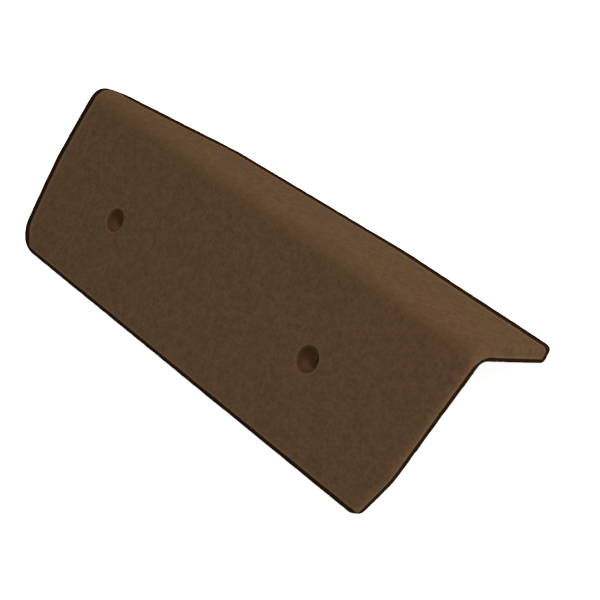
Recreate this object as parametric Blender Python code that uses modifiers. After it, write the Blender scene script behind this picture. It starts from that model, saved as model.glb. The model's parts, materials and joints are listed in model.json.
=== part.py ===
"""Concrete verge tile: a moulded slab folded into an L, an apron and a cover flange in one piece.

The slab is drawn flat, with its nail holes, cut across at the fold and bent there. The outside bends
over a tighter radius than an even bend would, so the concrete is a little thicker in the corner. The tile
stands on its two free edges, like a tent, with the fold on top.
"""
import math

import bmesh
import bpy
from mathutils import Matrix, Vector

# Slab and fold, in metres
LENGTH = 0.420
THICKNESS = 0.013
FOLD_ANGLE = math.radians(99.7)     # inside angle from apron to flange
INNER_FOLD_RADIUS = 0.009
OUTER_FOLD_RADIUS = 0.012
ARRIS_RADIUS = 0.0035               # soft edges all round, front and back

# Apron, the wide leaf with the nail holes; widths run from the fold's outer corner line
APRON_HEAD_WIDTH = 0.1435
APRON_TAIL_WIDTH = 0.131
APRON_HEAD_CORNER = 0.023
APRON_TAIL_CORNER = 0.006

# The apron's tail end leans back from the fold down to a knee, and more below it
TAIL_KNEE_WIDTH = 0.100
TAIL_KNEE_RAKE = 0.0085
TAIL_KNEE_ROUNDING = 0.060
TAIL_CORNER_RAKE = 0.017

# Cover flange, the narrow leaf, cut away towards the head where the next tile laps it
FLANGE_HEAD_WIDTH = 0.0235
FLANGE_SHOULDER_WIDTH = 0.066
FLANGE_FULL_WIDTH = 0.0865
FLANGE_TAIL_WIDTH = 0.083
SHOULDER_FROM_HEAD = 0.1085
FULL_WIDTH_FROM_TAIL = 0.1385
FLANGE_HEAD_CORNER = 0.024
SHOULDER_ROUNDING = 0.040
FULL_WIDTH_ROUNDING = 0.100
FLANGE_TAIL_CORNER = 0.0055

# The head end bows out a little, most of all part of the way down the apron
HEAD_BOW = 0.006
HEAD_BOW_WIDTH = 0.066
HEAD_BOW_ROUNDING = 0.300

# Nail holes, tapered like the pins that leave them in the mould
NAIL_HOLE_DIAMETER = 0.0175         # at the outer face
NAIL_HOLE_BACK_DIAMETER = 0.005
NAIL_HOLE_FROM_HEAD = 0.0935
NAIL_HOLE_FROM_TAIL = 0.1035
NAIL_HOLE_FROM_FREE_EDGE = 0.063
NAIL_HOLE_MOUTH_RADIUS = 0.001

# How finely the round stretches are cut
CORNER_ARC_STEPS = 12
BESIDE_ARC_STEPS = 3
CORNER_STEP = math.radians(10)
HOLE_SIDES = 32
ARRIS_RESOLUTION = 2
MOUTH_SEGMENTS = 2
FEWEST_CORNER_STEPS = 2
SMOOTH_WITHIN = math.radians(40)        # faces meeting flatter than this shade as one surface
MOUTH_EDGE_ANGLE = math.radians(50)     # only the rims of the holes turn more sharply than this

# Worked out from the sizes above
TURN = math.pi - FOLD_ANGLE
EVEN_BEND_RADIUS = INNER_FOLD_RADIUS + THICKNESS            # outside of a bend of even thickness
CORNER_SETBACK = EVEN_BEND_RADIUS * math.tan(TURN / 2)      # corner line to the start of the bend
ARC_SETBACK = OUTER_FOLD_RADIUS * math.tan(TURN / 2)        # corner line to the start of the outer arc
BESIDE_ARC_RUN = CORNER_SETBACK - ARC_SETBACK               # outside, still flat where the inside bends
CORNER_ARC_RUN = OUTER_FOLD_RADIUS * TURN
FOLD_RUN = CORNER_ARC_RUN + 2 * BESIDE_ARC_RUN              # length of the bend along its outside
NAIL_HOLE_TAPER = (NAIL_HOLE_DIAMETER - NAIL_HOLE_BACK_DIAMETER) / 2 / THICKNESS
CUTTER_DEPTH = 1.5 * THICKNESS                              # runs past both faces

TILE_COLOUR = (0.078, 0.046, 0.025, 1.0)    # linear light
TILE_ROUGHNESS = 0.85
WELD_DISTANCE = 0.00001


def clear_scene():
    for item in list(bpy.data.objects):
        bpy.data.objects.remove(item)


def new_collection(name):
    collection = bpy.data.collections.new(name)
    bpy.context.scene.collection.children.link(collection)
    return collection


def evaluated_mesh(item):
    """A new mesh of the object as its modifiers leave it, in the object's own frame."""
    bpy.context.view_layer.update()
    depsgraph = bpy.context.evaluated_depsgraph_get()
    return bpy.data.meshes.new_from_object(item.evaluated_get(depsgraph))


def weld(mesh):
    shape = bmesh.new()
    shape.from_mesh(mesh)
    bmesh.ops.remove_doubles(shape, verts=shape.verts, dist=WELD_DISTANCE)
    bmesh.ops.recalc_face_normals(shape, faces=shape.faces)
    shape.to_mesh(mesh)
    shape.free()


def apron_station(width):
    """Place on the flat slab, across it, of a point this far down the apron from the corner line."""
    return CORNER_SETBACK - width


def flange_station(width):
    """Place on the flat slab, across it, of a point this far out along the flange."""
    return FOLD_RUN + width - CORNER_SETBACK


def rounded_corner(before, corner, after, radius):
    """Points of the arc that rounds one corner of an outline."""
    to_before = (before - corner).normalized()
    to_after = (after - corner).normalized()
    half_angle = to_before.angle(to_after) / 2
    start = corner + to_before * radius / math.tan(half_angle)
    centre = corner + (to_before + to_after).normalized() * radius / math.sin(half_angle)
    sweep = math.pi - 2 * half_angle
    steps = max(FEWEST_CORNER_STEPS, math.ceil(sweep / CORNER_STEP))
    turn_sign = math.copysign(1, to_after.cross(to_before))
    arm = start - centre
    return [centre + Matrix.Rotation(turn_sign * sweep * step / steps, 2) @ arm for step in range(steps + 1)]


def slab_outline():
    """The flat slab's outline, anticlockwise: x runs from head to tail, y from apron to flange."""
    corners = [
        ((0, apron_station(APRON_HEAD_WIDTH)), APRON_HEAD_CORNER),
        ((LENGTH - TAIL_CORNER_RAKE, apron_station(APRON_TAIL_WIDTH)), APRON_TAIL_CORNER),
        ((LENGTH - TAIL_KNEE_RAKE, apron_station(TAIL_KNEE_WIDTH)), TAIL_KNEE_ROUNDING),
        ((LENGTH, 0), None),
        ((LENGTH, flange_station(FLANGE_TAIL_WIDTH)), FLANGE_TAIL_CORNER),
        ((LENGTH - FULL_WIDTH_FROM_TAIL, flange_station(FLANGE_FULL_WIDTH)), FULL_WIDTH_ROUNDING),
        ((SHOULDER_FROM_HEAD, flange_station(FLANGE_SHOULDER_WIDTH)), SHOULDER_ROUNDING),
        ((0, flange_station(FLANGE_HEAD_WIDTH)), FLANGE_HEAD_CORNER),
        ((-HEAD_BOW, apron_station(HEAD_BOW_WIDTH)), HEAD_BOW_ROUNDING),
    ]
    outline = []
    for index, (place, radius) in enumerate(corners):
        corner = Vector(place)
        if radius is None:
            outline.append(corner)
            continue
        before = Vector(corners[index - 1][0])
        after = Vector(corners[(index + 1) % len(corners)][0])
        outline += rounded_corner(before, corner, after, radius)
    return outline


def slab_without_holes():
    """The slab as a filled outline with soft edges, its outer face up at z = 0 and its back below."""
    outline = slab_outline()
    curve = bpy.data.curves.new("slab_outline", "CURVE")
    curve.dimensions = "2D"
    curve.fill_mode = "BOTH"
    curve.extrude = THICKNESS / 2 - ARRIS_RADIUS
    curve.bevel_depth = ARRIS_RADIUS
    curve.bevel_resolution = ARRIS_RESOLUTION
    curve.offset = -ARRIS_RADIUS
    spline = curve.splines.new("POLY")
    spline.points.add(len(outline) - 1)
    for point, place in zip(spline.points, outline):
        point.co = (place.x, place.y, 0, 1)
    spline.use_cyclic_u = True
    drawing = bpy.data.objects.new("slab_outline", curve)
    bpy.context.scene.collection.objects.link(drawing)
    drawing.location.z = -THICKNESS / 2
    mesh = evaluated_mesh(drawing)
    mesh.transform(drawing.matrix_world)
    bpy.data.objects.remove(drawing)
    weld(mesh)
    return mesh


def nail_hole_cutter(x, collection):
    """A cone with the hole's width where it crosses the outer face and where it crosses the back."""
    middle_radius = (NAIL_HOLE_DIAMETER + NAIL_HOLE_BACK_DIAMETER) / 4
    apron_width = APRON_HEAD_WIDTH + (APRON_TAIL_WIDTH - APRON_HEAD_WIDTH) * x / (LENGTH - TAIL_CORNER_RAKE)
    bpy.ops.mesh.primitive_cone_add(
        vertices=HOLE_SIDES,
        radius1=middle_radius - NAIL_HOLE_TAPER * CUTTER_DEPTH / 2,
        radius2=middle_radius + NAIL_HOLE_TAPER * CUTTER_DEPTH / 2,
        depth=CUTTER_DEPTH,
        location=(x, apron_station(apron_width - NAIL_HOLE_FROM_FREE_EDGE), -THICKNESS / 2),
    )
    cutter = bpy.context.object
    cutter.name = "nail_hole_cutter"
    cutter.hide_render = True
    cutter.display_type = "WIRE"
    for holder in list(cutter.users_collection):
        holder.objects.unlink(cutter)
    collection.objects.link(cutter)
    return cutter


def flat_slab(cutters):
    """The slab with its two nail holes bored through."""
    slab = bpy.data.objects.new("slab", slab_without_holes())
    bpy.context.scene.collection.objects.link(slab)
    for x in (NAIL_HOLE_FROM_HEAD, LENGTH - NAIL_HOLE_FROM_TAIL):
        bore = slab.modifiers.new("nail_hole", "BOOLEAN")
        bore.operation = "DIFFERENCE"
        bore.object = nail_hole_cutter(x, cutters)
    mesh = evaluated_mesh(slab)
    bpy.data.objects.remove(slab)
    return mesh


def bent_face(across, arc_start, arc_run, radius, setback, depth):
    """Where one face lies in the section across the fold: flat, round an arc, and flat again."""
    turned = TURN * min(max((across - arc_start) / arc_run, 0), 1)
    before = min(across - arc_start, 0)
    beyond = max(across - arc_start - arc_run, 0)
    centre = Vector((depth + radius, -setback))
    on_arc = centre + radius * Vector((-math.cos(turned), math.sin(turned)))
    return on_arc + before * Vector((0, 1)) + beyond * Vector((math.sin(TURN), math.cos(TURN)))


def folded_place(flat):
    """Where a point of the flat slab lies after the fold: the apron hangs down, the flange lies back."""
    x, across, height = flat
    outer = bent_face(across, BESIDE_ARC_RUN, CORNER_ARC_RUN, OUTER_FOLD_RADIUS, ARC_SETBACK, 0)
    inner = bent_face(across, 0, FOLD_RUN, INNER_FOLD_RADIUS, CORNER_SETBACK, THICKNESS)
    place = outer.lerp(inner, -height / THICKNESS)
    return Vector((x, place.x, place.y))


def fold_stations():
    """Where the slab is cut across: the inside bends over all of the run, the outside in its middle."""
    stations = [0]
    for run, steps in (
        (BESIDE_ARC_RUN, BESIDE_ARC_STEPS),
        (CORNER_ARC_RUN, CORNER_ARC_STEPS),
        (BESIDE_ARC_RUN, BESIDE_ARC_STEPS),
    ):
        start = stations[-1]
        stations += [start + run * step / steps for step in range(1, steps + 1)]
    return stations


def fold_slab(mesh):
    shape = bmesh.new()
    shape.from_mesh(mesh)
    for station in fold_stations():
        bmesh.ops.bisect_plane(
            shape,
            geom=shape.verts[:] + shape.edges[:] + shape.faces[:],
            plane_co=(0, station, 0),
            plane_no=(0, 1, 0),
            dist=WELD_DISTANCE,
        )
    for vertex in shape.verts:
        vertex.co = folded_place(vertex.co)
    shape.to_mesh(mesh)
    shape.free()


def soften_hole_mouths(tile):
    bevel = tile.modifiers.new("hole_mouths", "BEVEL")
    bevel.width = NAIL_HOLE_MOUTH_RADIUS
    bevel.segments = MOUTH_SEGMENTS
    bevel.limit_method = "ANGLE"
    bevel.angle_limit = MOUTH_EDGE_ANGLE


def centre_of_mass(shape):
    """Centre of a closed triangle mesh, summed over the tetrahedra from the origin to each face."""
    volume = 0
    moment = Vector()
    for face in shape.faces:
        a, b, c = (vertex.co for vertex in face.verts)
        part = a.dot(b.cross(c)) / 6
        volume += part
        moment += part * (a + b + c) / 4
    return moment / volume


def holds(face, point):
    """Whether a triangle of the hull holds the foot of the plumb line from this point."""
    foot = point - face.normal * (point - face.verts[0].co).dot(face.normal)
    corners = [vertex.co for vertex in face.verts]
    starts = corners[-1:] + corners[:-1]
    return all((end - start).cross(foot - start).dot(face.normal) >= 0 for start, end in zip(starts, corners))


def resting_matrix(tile):
    """The turn that lets the tile down on its two free edges, with its box centred over the origin."""
    mesh = evaluated_mesh(tile)
    shape = bmesh.new()
    shape.from_mesh(mesh)
    bpy.data.meshes.remove(mesh)
    bmesh.ops.triangulate(shape, faces=shape.faces)
    mass_centre = centre_of_mass(shape)
    hull = bmesh.ops.convex_hull(shape, input=shape.verts)
    hull_faces = [item for item in hull["geom"] if isinstance(item, bmesh.types.BMFace)]
    bmesh.ops.recalc_face_normals(shape, faces=hull_faces)
    between_leaves = Vector((0, math.sin(FOLD_ANGLE / 2), -math.cos(FOLD_ANGLE / 2)))
    below = [face for face in hull_faces if holds(face, mass_centre)]
    floor_normal = max((face.normal.copy() for face in below), key=between_leaves.dot)
    corners = [vertex.co.copy() for vertex in shape.verts]
    shape.free()
    up = -floor_normal
    tail_direction = (Vector((1, 0, 0)) - up * up.x).normalized()
    turn = Matrix((tail_direction, up.cross(tail_direction), up)).to_4x4()
    placed = [turn @ corner for corner in corners]
    low = Vector(min(place[axis] for place in placed) for axis in range(3))
    high = Vector(max(place[axis] for place in placed) for axis in range(3))
    return Matrix.Translation((-(low.x + high.x) / 2, -(low.y + high.y) / 2, -low.z)) @ turn


def concrete_material():
    material = bpy.data.materials.new("brown_coated_concrete")
    material.use_nodes = True
    shader = material.node_tree.nodes["Principled BSDF"]
    shader.inputs["Base Color"].default_value = TILE_COLOUR
    shader.inputs["Roughness"].default_value = TILE_ROUGHNESS
    shader.inputs["Metallic"].default_value = 0.0
    return material


def build_tile(collection, cutters):
    mesh = flat_slab(cutters)
    mesh.name = "tile"
    fold_slab(mesh)
    mesh.materials.clear()
    mesh.materials.append(concrete_material())
    mesh.shade_smooth()
    mesh.set_sharp_from_angle(angle=SMOOTH_WITHIN)
    tile = bpy.data.objects.new("tile", mesh)
    collection.objects.link(tile)
    soften_hole_mouths(tile)
    tile.matrix_world = resting_matrix(tile)
    return tile


clear_scene()
build_tile(new_collection("verge_tile"), new_collection("cutters"))
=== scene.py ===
# %% [markdown]
# # A roof verge tile
#
# A verge tile closes the sloping edge of a tiled roof. It is one moulding of brown concrete, bent like an
# opened book: the broad leaf, the apron, hangs down over the board at the gable and is nailed to it, and
# the narrow leaf, the cover flange, lies over the ends of the roof tiles.
#
# The solid model already has the true form. What it lacks is the surface: the coat of coloured slurry, the
# sand under it, the few air holes, the slightly rubbed edges, and the painted shade and painted highlights
# along the edges, in the nail holes and along the fold. So this lesson takes a copy of the solid, lays a
# fine net over it, presses relief into that net and then paints it.

# %% Load the solid model
import json
import math

import bpy
import numpy as np
from mathutils import Matrix, Vector
from mathutils.geometry import intersect_plane_plane
from mathutils.kdtree import KDTree


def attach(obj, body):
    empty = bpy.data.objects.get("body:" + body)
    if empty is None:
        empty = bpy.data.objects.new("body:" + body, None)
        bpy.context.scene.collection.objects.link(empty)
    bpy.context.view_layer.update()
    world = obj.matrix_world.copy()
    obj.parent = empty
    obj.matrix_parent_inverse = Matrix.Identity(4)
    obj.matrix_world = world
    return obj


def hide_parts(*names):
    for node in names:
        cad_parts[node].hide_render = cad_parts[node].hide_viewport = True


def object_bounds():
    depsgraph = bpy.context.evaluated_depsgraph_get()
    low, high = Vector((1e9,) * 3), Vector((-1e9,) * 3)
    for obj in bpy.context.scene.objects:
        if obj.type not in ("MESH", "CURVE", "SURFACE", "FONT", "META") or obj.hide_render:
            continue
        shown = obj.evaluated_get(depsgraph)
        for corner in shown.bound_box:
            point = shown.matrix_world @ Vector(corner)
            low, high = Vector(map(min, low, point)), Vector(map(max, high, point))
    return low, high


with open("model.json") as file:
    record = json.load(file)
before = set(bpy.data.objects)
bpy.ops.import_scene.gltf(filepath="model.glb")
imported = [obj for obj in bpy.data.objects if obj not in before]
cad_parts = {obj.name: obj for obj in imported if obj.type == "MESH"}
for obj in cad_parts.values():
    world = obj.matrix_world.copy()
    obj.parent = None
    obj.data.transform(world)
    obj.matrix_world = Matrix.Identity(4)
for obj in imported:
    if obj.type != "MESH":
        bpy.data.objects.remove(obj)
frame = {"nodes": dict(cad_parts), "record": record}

cad_low, cad_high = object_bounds()
print("solid model, mm:", [round((high - low) * 1000, 1) for low, high in zip(cad_low, cad_high)])

# %% [markdown]
# ## The camera
#
# The camera is placed the way a photographer would describe it: where it aims, how far away it stands, how
# far round and how high, and how much it is tipped on its side. The tile stands on its two free edges, and
# the picture shows it leaning to the right, so the camera carries that lean as roll.

# %% Camera
AIM = Vector((0.0401, 0.0137, 0.0069))
DISTANCE = 0.8468                   # metres
AZIMUTH = math.radians(69.62)       # from the apron's side, round to the tail
ELEVATION = math.radians(48.01)
ROLL = math.radians(-27.34)
FOCAL_LENGTH = 72.0                 # mm
SENSOR_WIDTH = 36.0                 # mm

level_turn = Matrix.Rotation(AZIMUTH, 3, "Z") @ Matrix.Rotation(math.pi / 2 - ELEVATION, 3, "X")
towards_camera = level_turn @ Vector((0, 0, 1))
camera_turn = level_turn @ Matrix.Rotation(ROLL, 3, "Z")
bpy.ops.object.camera_add(location=AIM + towards_camera * DISTANCE, rotation=camera_turn.to_euler())
camera = bpy.context.object
camera.name = "camera"
camera.data.lens = FOCAL_LENGTH
camera.data.sensor_width = SENSOR_WIDTH
bpy.context.scene.camera = camera
print("camera at, m:", [round(value, 3) for value in camera.location])

# %% [markdown]
# ## Directions on the tile
#
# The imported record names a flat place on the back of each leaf, with the direction it faces. The outside
# of a leaf faces the other way. From those two directions come the line of the fold and, for each leaf,
# the direction from the fold to its free edge.

# %% Directions on the tile
mounts = {mount["name"]: mount for mount in frame["record"]["mounts"]}
apron_back = Vector(mounts["apron_back"]["pos_m"])
flange_back = Vector(mounts["flange_underside"]["pos_m"])
apron_out = -Vector(mounts["apron_back"]["axis"]).normalized()
flange_out = -Vector(mounts["flange_underside"]["axis"]).normalized()
to_tail = flange_out.cross(apron_out).normalized()
apron_outwards = to_tail.cross(apron_out)
flange_outwards = flange_out.cross(to_tail)
inner_corner, _ = intersect_plane_plane(apron_back, apron_out, flange_back, flange_out)
fold_angle = math.degrees(apron_outwards.angle(flange_outwards))
print("inside angle of the fold, degrees:", round(fold_angle, 1))

# %% [markdown]
# ## The tile's mesh
#
# The solid is made of long thin triangles, which can't hold relief. A copy has its loose triangles merged,
# and a voxel remesh then lays an even net over it, like skimming the shape in small squares. The net is
# 1.1 mm wide, fine enough for an air hole or a rubbed edge, and is thinned again once the relief is in it.

# %% Copy the solid and lay an even net over it
MERGE_WITHIN = 0.00001              # metres
NET_WIDTH = 0.0011

bpy.ops.object.select_all(action="DESELECT")
tile = bpy.data.objects.new("concrete_verge_tile", frame["nodes"]["tile"].data.copy())
tile.data.name = "concrete_verge_tile"
bpy.context.scene.collection.objects.link(tile)
bpy.context.view_layer.objects.active = tile
tile.select_set(True)

bpy.ops.object.mode_set(mode="EDIT")
bpy.ops.mesh.select_all(action="SELECT")
bpy.ops.mesh.remove_doubles(threshold=MERGE_WITHIN)
bpy.ops.mesh.normals_make_consistent(inside=False)
bpy.ops.object.mode_set(mode="OBJECT")

net = tile.modifiers.new("even_net", "REMESH")
net.mode = "VOXEL"
net.voxel_size = NET_WIDTH
net.use_smooth_shade = True
bpy.ops.object.modifier_apply(modifier=net.name)
print("net:", len(tile.data.vertices), "points,", len(tile.data.polygons), "faces")

# %% [markdown]
# ## Face, edge, back and bore
#
# Relief and paint both need to know where a point lies. First each point is described by the leaf that it
# belongs to: how far along the fold, how far across the leaf from it, and how far above the back. In the
# fold the back is a round fillet, and there the height is measured from the fillet.

# %% Describe points by their leaf
FILLET_RADIUS = 0.009               # metres
FILLET_REACH = FILLET_RADIUS / math.tan(math.radians(fold_angle / 2))
CLEAR_OF_FOLD = 2 * FILLET_REACH


def point_values(mesh, name):
    values = np.empty(len(mesh.vertices) * 3)
    mesh.vertices.foreach_get(name, values)
    return values.reshape(-1, 3)


def by_leaf(places):
    from_corner = places - np.array(inner_corner)
    past_fold = from_corner @ np.array((flange_out - apron_out).normalized())
    on_flange = (past_fold > 0)[:, None]
    outwards = np.where(on_flange, np.array(flange_outwards), np.array(apron_outwards))
    out = np.where(on_flange, np.array(flange_out), np.array(apron_out))
    across = (from_corner * outwards).sum(axis=1)
    beside = np.maximum(FILLET_REACH - across, 0)
    above = (from_corner * out).sum(axis=1) + FILLET_RADIUS
    from_centre = np.hypot(beside, above)
    return {
        "past_fold": past_fold,     # below 0 on the apron, above 0 on the flange
        "along": from_corner @ np.array(to_tail),
        "across": across,
        "height": from_centre - FILLET_RADIUS,
        "outwards": outwards,       # direction from the fold to the free edge
        "up": (above[:, None] * out - beside[:, None] * outwards) / from_centre[:, None],
    }


net_places = point_values(tile.data, "co")
net_normals = point_values(tile.data, "normal")
net_leaf = by_leaf(net_places)
thickness = float(net_leaf["height"][net_leaf["across"] > CLEAR_OF_FOLD].max())
head_end = float(net_leaf["along"].min())
print("thickness, mm:", round(thickness * 1000, 1))

# %% [markdown]
# A nail hole is a cone, wide at the outer face and narrow at the back, like the pin that left it. A point
# lies in a bore if it is no farther from the axis than the cone is wide at its height.

# %% Nail holes
# metres: a point on the axis of each hole
NAIL_HOLES = (Vector((-0.11409, -0.03204, 0.04025)), Vector((0.10893, -0.02596, 0.04025)))
MOUTH_RADIUS = 0.00875
BACK_RADIUS = 0.0025
BORE_FADE = (0.0003, 0.0011)        # from the wall outwards, over the rounded mouth
DEEP_FROM = (0.15, 0.65)            # shares of the thickness over which a bore's paint goes from painted shade to painted light


def ramp(values, start, end):
    """0 up to start, 1 from end on, and a soft S in between."""
    part = ((values - start) / (end - start)).clip(0, 1)
    return part * part * (3 - 2 * part)


def distance_from_holes(places):
    distance = np.full(len(places), np.inf)
    for centre in NAIL_HOLES:
        from_centre = places - np.array(centre)
        along_axis = from_centre @ np.array(apron_out)
        across_axis = from_centre - along_axis[:, None] * np.array(apron_out)
        distance = np.minimum(distance, np.linalg.norm(across_axis, axis=1))
    return distance


def in_bore(distance, height):
    wall = BACK_RADIUS + (MOUTH_RADIUS - BACK_RADIUS) * (height / thickness).clip(0, 1)
    return 1 - ramp(distance - wall, *BORE_FADE)


print("nail holes:", len(NAIL_HOLES), "with mouths, mm:", round(2 * MOUTH_RADIUS * 1000, 1))

# %% [markdown]
# A band of painted shade runs along the edges. To find how far a point lies from the edge of its leaf, the
# narrow faces round the rim are collected first, seen square to the leaf.

# %% Collect the rim
CLEAR_OF_HOLES = 0.012              # metres
RIM_FACING = 0.9                    # how squarely a face looks out of the leaf, 1 for a true edge face


def flat_places(leaf):
    """Each point as seen square to its leaf, with the two leaves 1 m apart."""
    return np.stack([leaf["along"], leaf["across"], leaf["past_fold"] > 0], axis=1)


headwards = -(net_normals @ np.array(to_tail))
outwards = (net_normals * net_leaf["outwards"]).sum(axis=1)
sideways = np.hypot(headwards.clip(0, 1), outwards.clip(0, 1))
clear_of_holes = distance_from_holes(net_places) > CLEAR_OF_HOLES
rim_points = np.flatnonzero((sideways > RIM_FACING) & clear_of_holes)
net_flat = flat_places(net_leaf)
rim_tree = KDTree(len(rim_points))
for index in rim_points:
    rim_tree.insert(net_flat[index], int(index))
rim_tree.balance()
print("points on the rim:", len(rim_points))

# %% [markdown]
# A narrow band of painted shade, nearly black-brown, runs along the edges where they turn away from the
# light, and just inside it runs a band of painted highlight. The value rim counts across those bands: it is
# below 0 on the shaded one, 0 to 1 on the paler one, and above 1 on the full coat. The shaded band is widest
# on the flange, above all where the flange is cut away for the next tile, narrower at the head and narrowest
# along the apron. The tail end is coated like the outer faces, apart from its inner part, which gets the
# painted shade. Round the mouths of the nail holes there is a ring of painted highlight, too. Along the
# fold, the value fold_highlight says how much paler the coat is painted there: a painted highlight on the
# apron's side of the round.

# %% Measure each point of a mesh
APRON_BAND = (0.0034, 0.0013)       # metres: painted shade, then painted highlight
HEAD_BAND = (0.0071, 0.0030)
FLANGE_BAND = (0.0122, 0.0036)
FLANGE_CUT_BAND = (0.0150, 0.0036)  # where the flange is cut away towards the head
FLANGE_TIP_BAND = (0.0085, 0.0016)  # on the tail end, at the flange's free edge
APRON_TAIL_BAND = (0.0056, 0.0020)  # on the tail end: how deep below the outer face the painted shade starts, then how wide the painted highlight is
FLANGE_TAIL_BAND = (0.0088, 0.0015)
FOLD_BLEND = 0.012                  # metres on either side of the fold
APRON_HEAD_FACING = (0.10, 0.60)    # how far an edge looks headwards, from a side to the head
FLANGE_HEAD_FACING = (0.45, 0.85)
CUT_STARTS = (0.010, 0.045)         # metres from the head, where the widest band begins and ends
CUT_ENDS = (0.075, 0.145)
PALE_RING = 0.0016                  # metres outside a hole's mouth: a ring of painted highlight
PALEST = 0.5                        # least value of rim in that ring
# A band of painted highlight along the fold, on the apron's side, which moves the fold's shading
FOLD_HIGHLIGHT_MIDDLE = -0.0025             # metres past the fold, so it is on the apron's side
FOLD_HIGHLIGHT_WIDTH = (0.0020, 0.0100)     # to either side, from full painted highlight to none
FOLD_HIGHLIGHT_SHARE = 0.27
BACK_FACING = (0.80, 0.95)          # how squarely a face looks backwards, from not back to back
EDGE_FADE = (-0.3, 0.3)             # values of rim between which an edge leaves the painted shade


def blend(share, start, end):
    """A mix of two bands, with a share for each point."""
    return (1 - share)[:, None] * np.array(start) + share[:, None] * np.array(end)


# rim: below 0 on the band of painted shade along the edges, 0 to 1 on the band of painted highlight
def rim_value(leaf, normals, hole_distance):
    found = [rim_tree.find(place)[1:] for place in flat_places(leaf)]
    nearest = np.array([index for index, _ in found])
    distance = np.array([value for _, value in found])
    flange = ramp(leaf["past_fold"], -FOLD_BLEND, FOLD_BLEND)
    tail_face = (normals @ np.array(to_tail)).clip(0, 1)
    from_head = leaf["along"] - head_end
    beside_cut = ramp(from_head, *CUT_STARTS) * (1 - ramp(from_head, *CUT_ENDS))
    flange_band = blend(beside_cut, FLANGE_BAND, FLANGE_CUT_BAND)
    flange_band = blend(tail_face, flange_band, FLANGE_TIP_BAND)
    side_band = blend(flange, APRON_BAND, flange_band)
    side, head = blend(flange, APRON_HEAD_FACING, FLANGE_HEAD_FACING).T
    shaded, paler = blend(ramp(headwards[nearest], side, head), side_band, HEAD_BAND).T
    tail_start, tail_paler = blend(flange, APRON_TAIL_BAND, FLANGE_TAIL_BAND).T
    from_sides = (distance - shaded) / paler
    from_tail_start = (tail_start - (thickness - leaf["height"])) / tail_paler
    from_mouths = (hole_distance - MOUTH_RADIUS) / PALE_RING
    return np.minimum(np.minimum(from_sides, from_tail_start), np.maximum(from_mouths, PALEST))


def measure(places, normals):
    leaf = by_leaf(places)
    hole_distance = distance_from_holes(places)
    return {
        "rim": rim_value(leaf, normals, hole_distance),
        "back": ramp(-(normals * leaf["up"]).sum(axis=1), *BACK_FACING),
        "bore": in_bore(hole_distance, leaf["height"]),
        "depth": ramp(1 - leaf["height"] / thickness, *DEEP_FROM),
        "fold_highlight": FOLD_HIGHLIGHT_SHARE * (1 - ramp(abs(leaf["past_fold"] - FOLD_HIGHLIGHT_MIDDLE), *FOLD_HIGHLIGHT_WIDTH)),
    }


zones = measure(net_places, net_normals)
# The band of painted shade along the edges, away from the back and the bores; the rubbed-edge relief goes
# there too
shaded_edge = (1 - ramp(zones["rim"], *EDGE_FADE)) * (1 - zones["back"]) * (1 - zones["bore"])
print("points on bare edges:", int((shaded_edge > 0.5).sum()))
print("points in the nail holes:", int((zones["bore"] > 0.5).sum()))

# %% [markdown]
# ## Relief
#
# A pressed tile isn't quite flat. The pallet that it lay on leaves low waves, sand gives the faces a fine
# tooth, trapped air leaves a few small holes, more of them on the back, and the edges are a little rubbed.
# Each is a Displace modifier with a noise texture, held to its zone by a vertex group and then applied, so
# that the relief is real mesh and shows at the outline too.

# %% Helpers for relief
WEIGHT_STEPS = 8
FLAT_BOTTOM = 0.4                   # share of an air hole's radius that is fully deep
AS_MUCH_OUT_AS_IN = 0.5             # mid levels for the Displace modifier
MORE_IN_THAN_OUT = 0.6
ONLY_IN = 1.0


def weigh(name, weights):
    """Makes a vertex group of the tile, with the weights rounded to a few steps."""
    group = tile.vertex_groups.new(name=name)
    levels = np.round(weights * WEIGHT_STEPS).astype(int)
    for level in range(1, WEIGHT_STEPS + 1):
        group.add(np.flatnonzero(levels == level).tolist(), level / WEIGHT_STEPS, "REPLACE")
    return group.name


def press(texture, height, mid_level, group):
    relief = tile.modifiers.new(texture.name, "DISPLACE")
    relief.texture = texture
    relief.texture_coords = "LOCAL"
    relief.strength = height
    relief.mid_level = mid_level
    relief.vertex_group = group
    bpy.ops.object.modifier_apply(modifier=relief.name)


def cloud_texture(name, size, depth):
    texture = bpy.data.textures.new(name, "CLOUDS")
    texture.noise_scale = size
    texture.noise_depth = depth
    return texture


def air_hole_texture(name, spacing, radius):
    """White nearly everywhere, black in a small spot around each of many scattered points."""
    texture = bpy.data.textures.new(name, "VORONOI")
    texture.noise_scale = spacing
    texture.use_color_ramp = True
    texture.color_ramp.elements[0].position = radius / spacing * FLAT_BOTTOM
    texture.color_ramp.elements[0].color = (0, 0, 0, 1)
    texture.color_ramp.elements[1].position = radius / spacing
    texture.color_ramp.elements[1].color = (1, 1, 1, 1)
    return texture


# %% Press the relief into the net
PALLET_WAVES = (0.070, 0, 0.00035)  # metres across, finer layers of noise, metres high
SAND = (0.0032, 1, 0.00022)
RUBBED_EDGES = (0.007, 2, 0.0004)
AIR_HOLES = (0.016, 0.0013, 0.0005)  # metres: apart, radius, deep
AIR_HOLES_IN_BACK = (0.009, 0.0016, 0.0007)

flats = weigh("flats", 1 - zones["bore"])
edges = weigh("edges", shaded_edge)
backs = weigh("backs", zones["back"] * (1 - zones["bore"]))

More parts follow.
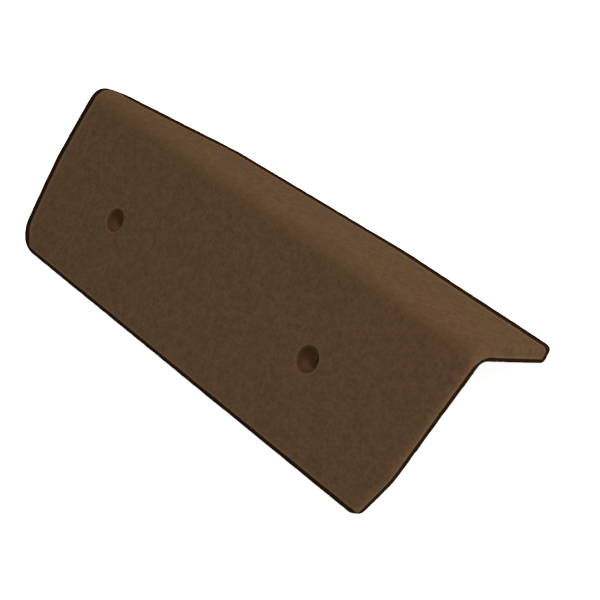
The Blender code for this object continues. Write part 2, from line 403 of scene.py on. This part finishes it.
for name, (size, layers, height), mid_level, group in (
    ("pallet_waves", PALLET_WAVES, AS_MUCH_OUT_AS_IN, flats),
    ("sand", SAND, AS_MUCH_OUT_AS_IN, flats),
    ("rubbed_edges", RUBBED_EDGES, MORE_IN_THAN_OUT, edges),
):
    press(cloud_texture(name, size, layers), height, mid_level, group)
for name, (spacing, radius, depth), group in (
    ("air_holes", AIR_HOLES, flats),
    ("air_holes_in_back", AIR_HOLES_IN_BACK, backs),
):
    press(air_hole_texture(name, spacing, radius), depth, ONLY_IN, group)
print("points after the relief:", len(tile.data.vertices))

# %% [markdown]
# ## Thinning the net
#
# The net now has more squares than anything needs on its quiet stretches. Decimate takes points away where
# the surface is nearly flat and leaves them at edges, holes and rims. The zones are measured again on what
# is left, and stored on the mesh for the material to read.

# %% Thin the net and store the zones
MOST_TRIANGLES = 195000

before = sum(len(face.vertices) - 2 for face in tile.data.polygons)
thin = tile.modifiers.new("thinned_net", "DECIMATE")
thin.ratio = min(1, MOST_TRIANGLES / before)
bpy.ops.object.modifier_apply(modifier=thin.name)
tile.vertex_groups.clear()
tile.data.shade_smooth()
thinned = measure(point_values(tile.data, "co"), point_values(tile.data, "normal"))
for name, values in thinned.items():
    attribute = tile.data.attributes.new(name, "FLOAT", "POINT")
    attribute.data.foreach_set("value", np.ascontiguousarray(values, dtype=np.float32))
after = sum(len(face.vertices) - 2 for face in tile.data.polygons)
print("triangles:", before, "thinned to", after)

# %% [markdown]
# ## Colours and nodes
#
# Colours are written as the sRGB hex values that one would pick from a picture. Blender calculates in
# linear light, so one function turns them. A second one adds a node, fills in its settings and joins its
# inputs, and two short ones use it for what comes back again and again: a soft ramp and a mix of colours.

# %% Helpers for materials
def linear(hex_colour):
    levels = [int(hex_colour[place : place + 2], 16) / 255 for place in (1, 3, 5)]
    return [part / 12.92 if part <= 0.04045 else ((part + 0.055) / 1.055) ** 2.4 for part in levels] + [1.0]


def add_node(tree, kind, settings=None, **inputs):
    """Adds a node. settings are its properties. An input is a value or the socket that feeds it, and is
    called by its name, or by its number as in _6 where several have the same name."""
    node = tree.nodes.new(kind)
    for name, value in (settings or {}).items():
        setattr(node, name, value)
    for name, value in inputs.items():
        number = name[1:]
        socket = node.inputs[int(number)] if number.isdigit() else node.inputs[name.replace("_", " ")]
        if isinstance(value, bpy.types.NodeSocket):
            tree.links.new(value, socket)
        else:
            socket.default_value = value
    return node


def add_ramp(tree, value, limits, start=0.0, end=1.0):
    """Adds a node that goes softly from start to end while the value goes from one limit to the other."""
    low_limit, high_limit = limits
    return add_node(
        tree, "ShaderNodeMapRange", {"interpolation_type": "SMOOTHSTEP"},
        Value=value, From_Min=low_limit, From_Max=high_limit, To_Min=start, To_Max=end,
    ).outputs[0]


def add_mix(tree, amount, first, second):
    """Adds a node that mixes the second colour into the first."""
    mix = add_node(tree, "ShaderNodeMix", {"data_type": "RGBA"}, _0=amount, _6=first, _7=second)
    return mix.outputs[2]


def new_material(name):
    material = bpy.data.materials.new(name)
    material.use_nodes = True
    return material, material.node_tree, material.node_tree.nodes["Principled BSDF"]


# %% [markdown]
# ## Slurry-coated concrete: the coat
#
# The tile is pressed from sand and cement, coloured right through with brown iron oxide, and gets a thin
# coat of coloured slurry while it is green. The coat gives the eye a soft, dead matt brown. It leans a
# little to olive in some places and to red in others, it is thicker and thinner in blotches of a few
# millimetres, and it has small darker flecks where a sand grain or a pore shows through.

# %% The coat's colour
COAT_OLIVE = "#53432F"
COAT_RED = "#564230"
FLECK_BROWN = "#3C2D1F"
CLOUD_SIZE = 0.080                  # metres
BLOTCH_SIZE = 0.0060
FLECK_SIZE = 0.0022
MIDDLE_NOISE = (0.3, 0.7)           # most of a noise lies between these two
FLECK_NOISE = (0.4, 0.7)
BLOTCH_SHARE = 0.26                 # of the flecks' brown
FLECK_SHARE = 0.40

concrete, tree, shader = new_material("slurry_coated_concrete")
where = add_node(tree, "ShaderNodeTexCoord").outputs["Object"]
clouds = add_node(tree, "ShaderNodeTexNoise", Vector=where, Scale=1 / CLOUD_SIZE, Detail=2.0)
clouds = add_ramp(tree, clouds.outputs[0], MIDDLE_NOISE)
coat = add_mix(tree, clouds, linear(COAT_OLIVE), linear(COAT_RED))

blotches = add_node(tree, "ShaderNodeTexNoise", Vector=where, Scale=1 / BLOTCH_SIZE, Detail=1.0)
blotches = add_ramp(tree, blotches.outputs[0], MIDDLE_NOISE, end=BLOTCH_SHARE)
coat = add_mix(tree, blotches, coat, linear(FLECK_BROWN))

flecks = add_node(tree, "ShaderNodeTexNoise", Vector=where, Scale=1 / FLECK_SIZE, Detail=3.0)
flecks = add_ramp(tree, flecks.outputs[0], FLECK_NOISE, end=FLECK_SHARE)
coat = add_mix(tree, flecks, coat, linear(FLECK_BROWN))
print("coat of", COAT_OLIVE, "to", COAT_RED, "with flecks of", FLECK_BROWN)

# %% [markdown]
# ## Slurry-coated concrete: edges, back and bores
#
# The edges are painted nearly black-brown, a painted shade where they turn away from the light. The coat
# beside them is painted paler, a painted highlight, and so is a band along the fold. The coat doesn't reach
# the back, which is duller and coarser. The nail holes are painted dark at the mouth, a painted shade, and
# paler deeper in, a painted light against the shade deep in the bore.

# %% The colour at edges, back and bores
# painted highlight beside the edges and along the fold
HIGHLIGHTED_BROWN = "#604A34"
# painted shade along the edges
EDGE_SHADE_BROWN = "#1E130A"
BACK_BROWN = "#554637"
# painted shade at the mouths of the nail holes, and painted light deeper in, against the shade in the bore
BORE_SHADE_BROWN = "#3F2D1D"
DEEP_BORE_LIGHT_BROWN = "#60462F"
HIGHLIGHTED_RIM = (0.4, 1.6)               # values of rim from the strongest painted highlight to the full coat
HIGHLIGHTED_SHARE = 0.75
SHADED_RIM = (-0.3, 0.4)              # values of rim from painted shade to coated

rim, back, bore, depth, fold_highlight = (
    add_node(tree, "ShaderNodeAttribute", {"attribute_name": name}).outputs["Fac"]
    for name in ("rim", "back", "bore", "depth", "fold_highlight")
)
highlighted = add_ramp(tree, rim, HIGHLIGHTED_RIM, start=HIGHLIGHTED_SHARE, end=0.0)
highlighted = add_node(tree, "ShaderNodeMath", {"operation": "MAXIMUM"}, _0=highlighted, _1=fold_highlight).outputs[0]
shaded = add_ramp(tree, rim, SHADED_RIM, start=1.0, end=0.0)
# Over the coat go the painted highlight, the painted shade of the edges, the back's own brown, and the
# bores' painted shade and light
colour = coat
for amount, brown in (
    (highlighted, linear(HIGHLIGHTED_BROWN)),
    (shaded, linear(EDGE_SHADE_BROWN)),
    (back, linear(BACK_BROWN)),
    (bore, add_mix(tree, depth, linear(BORE_SHADE_BROWN), linear(DEEP_BORE_LIGHT_BROWN))),
):
    colour = add_mix(tree, amount, colour, brown)
tree.links.new(colour, shader.inputs["Base Color"])
print("nodes in the material:", len(tree.nodes))

# %% [markdown]
# ## Slurry-coated concrete: tooth and gloss
#
# Sand of about a millimetre gives the coat its tooth, drawn as bump. The dry coat has no gloss at all, not
# even at a flat angle, so the specular level is 0, and only the flecks differ a little in roughness.

# %% Tooth and gloss
SAND_SIZE = 0.0011                  # metres
TOOTH_HEIGHT = 0.0002
TOOTH_STRENGTH = 0.35
COAT_ROUGHNESS = 0.92
FLECK_ROUGHNESS = 0.84
CEMENT_IOR = 1.5

sand = add_node(tree, "ShaderNodeTexNoise", Vector=where, Scale=1 / SAND_SIZE, Detail=2.0)
tooth = add_node(
    tree, "ShaderNodeBump", Strength=TOOTH_STRENGTH, Distance=TOOTH_HEIGHT, Height=sand.outputs[0]
)
matt = add_node(
    tree, "ShaderNodeMapRange",
    Value=flecks, From_Max=FLECK_SHARE, To_Min=COAT_ROUGHNESS, To_Max=FLECK_ROUGHNESS,
)
tree.links.new(tooth.outputs["Normal"], shader.inputs["Normal"])
tree.links.new(matt.outputs[0], shader.inputs["Roughness"])
shader.inputs["IOR"].default_value = CEMENT_IOR
shader.inputs["Specular IOR Level"].default_value = 0.0
tile.data.materials.clear()
tile.data.materials.append(concrete)
print("material:", tile.data.materials[0].name)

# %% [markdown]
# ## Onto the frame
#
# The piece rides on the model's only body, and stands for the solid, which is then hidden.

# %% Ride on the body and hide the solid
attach(tile, "root")
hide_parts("tile")
print("piece:", tile.name)

# %% [markdown]
# ## Floor
#
# The tile lies on a photographer's light table. The table is pale and glows a little from below, which
# lifts the shadows, as in a catalogue picture. A dark brown oval painted on the table, smaller than the tile
# and hidden by it from the camera, is a painted shadow under the tile, and it keeps that light from shining
# up through the nail holes.

# %% Floor
FLOOR_SIDE = 12.0                   # metres
TABLE_GLOW = 0.90
TABLE_ROUGHNESS = 0.9
SHADOW_CARD_EDGE = (0.42, 0.74)            # share of the way from the tile's middle to its sides
OPAL_WHITE = "#F7F7F7"
SHADOW_CARD_BROWN = "#241709"

bpy.ops.object.select_all(action="DESELECT")
bpy.ops.mesh.primitive_plane_add(size=FLOOR_SIDE, location=(0, 0, 0))
floor = bpy.context.object
floor.name = "floor"
opal, opal_tree, opal_shader = new_material("opal_table_top")
opal_shader.inputs["Roughness"].default_value = TABLE_ROUGHNESS
opal_shader.inputs["Specular IOR Level"].default_value = 0.0
opal_shader.inputs["Emission Strength"].default_value = TABLE_GLOW
on_table = add_node(opal_tree, "ShaderNodeTexCoord").outputs["Object"]
half_tile = (cad_high[0], cad_high[1], 1)
from_middle = add_node(
    opal_tree, "ShaderNodeVectorMath", {"operation": "DIVIDE"}, _0=on_table, _1=half_tile
)
from_middle = add_node(
    opal_tree, "ShaderNodeVectorMath", {"operation": "LENGTH"}, _0=from_middle.outputs[0]
)
# No glow and a dark brown inside the oval: a painted shadow under the tile
past_shadow_card = add_ramp(opal_tree, from_middle.outputs[1], SHADOW_CARD_EDGE)
table = add_mix(opal_tree, past_shadow_card, linear(SHADOW_CARD_BROWN), linear(OPAL_WHITE))
for socket in ("Base Color", "Emission Color"):
    opal_tree.links.new(table, opal_shader.inputs[socket])
floor.data.materials.append(opal)
print("floor:", FLOOR_SIDE, "m square")

# %% [markdown]
# ## Light
#
# An even sky and one broad, slightly warm lamp, high behind the flange. The lamp's light skims along the
# apron and falls squarely on the flange, which makes the flange the brighter and warmer leaf.

# %% Lamp and sky
LAMP_DIRECTION = Vector((0.38, 0.51, 0.77)).normalized()
LAMP_DISTANCE = 2.2                 # metres
LAMP_SIDE = 1.2
LAMP_POWER = 38.5                   # watts
LAMP_COLOUR = "#FFF0E2"
SKY_STRENGTH = 0.623

lamp_turn = LAMP_DIRECTION.to_track_quat("Z", "Y").to_euler()
bpy.ops.object.light_add(type="AREA", location=LAMP_DIRECTION * LAMP_DISTANCE, rotation=lamp_turn)
lamp = bpy.context.object
lamp.name = "softbox"
lamp.data.shape = "SQUARE"
lamp.data.size = LAMP_SIDE
lamp.data.energy = LAMP_POWER
lamp.data.color = linear(LAMP_COLOUR)[:3]

sky = bpy.data.worlds.new("even_sky")
sky.use_nodes = True
sky.node_tree.nodes["Background"].inputs["Color"].default_value = (1, 1, 1, 1)
sky.node_tree.nodes["Background"].inputs["Strength"].default_value = SKY_STRENGTH
bpy.context.scene.world = sky
bpy.context.scene.view_settings.view_transform = "Standard"
print("lamp at, m:", [round(value, 2) for value in lamp.location])
